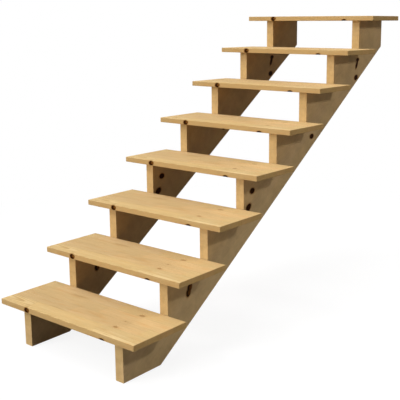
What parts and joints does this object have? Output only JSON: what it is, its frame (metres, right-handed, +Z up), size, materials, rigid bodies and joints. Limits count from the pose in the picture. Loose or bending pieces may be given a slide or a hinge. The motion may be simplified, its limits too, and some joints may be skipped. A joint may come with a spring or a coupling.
{
  "type": "open-riser wooden stair",
  "caption": "Straight open-riser stair: flat wooden treads saddled on two sawtooth stringers, square foot cuts below and a plumb cut where it bears on a landing.",
  "frame": {"origin": "middle of the top tread's back edge, in the vertical plane where the flight bears on its landing; the floor is 1.372 m below it", "axes": "+Z up, +Y the way the flight climbs, out of the landing face, and +X along the treads to the right of someone going up"},
  "size_m": [0.8, 2.038, 1.384],
  "materials": {
    "pine_tread": "planed glued pine, clear matt oil",
    "pine_stringer": "planed glued pine, clear matt oil",
    "beech_dowel": "bare turned beech"
  },
  "bodies": {
    "root": {"stringer_left": "pine_stringer", "stringer_right": "pine_stringer", "tread_1": "pine_tread", "tread_2": "pine_tread", "tread_3": "pine_tread", "tread_4": "pine_tread", "tread_5": "pine_tread", "tread_6": "pine_tread", "tread_7": "pine_tread", "tread_8": "pine_tread", "dowel_left_1_front": "beech_dowel", "dowel_left_1_back": "beech_dowel", "dowel_left_2_front": "beech_dowel", "dowel_left_2_back": "beech_dowel", "dowel_left_3_front": "beech_dowel", "dowel_left_3_back": "beech_dowel", "dowel_left_4_front": "beech_dowel", "dowel_left_4_back": "beech_dowel", "dowel_left_5_front": "beech_dowel", "dowel_left_5_back": "beech_dowel", "dowel_left_6_front": "beech_dowel", "dowel_left_6_back": "beech_dowel", "dowel_left_7_front": "beech_dowel", "dowel_left_7_back": "beech_dowel", "dowel_left_8_front": "beech_dowel", "dowel_left_8_back": "beech_dowel", "dowel_right_1_front": "beech_dowel", "dowel_right_1_back": "beech_dowel", "dowel_right_2_front": "beech_dowel", "dowel_right_2_back": "beech_dowel", "dowel_right_3_front": "beech_dowel", "dowel_right_3_back": "beech_dowel", "dowel_right_4_front": "beech_dowel", "dowel_right_4_back": "beech_dowel", "dowel_right_5_front": "beech_dowel", "dowel_right_5_back": "beech_dowel", "dowel_right_6_front": "beech_dowel", "dowel_right_6_back": "beech_dowel", "dowel_right_7_front": "beech_dowel", "dowel_right_7_back": "beech_dowel", "dowel_right_8_front": "beech_dowel", "dowel_right_8_back": "beech_dowel"}
  },
  "joints": []
}
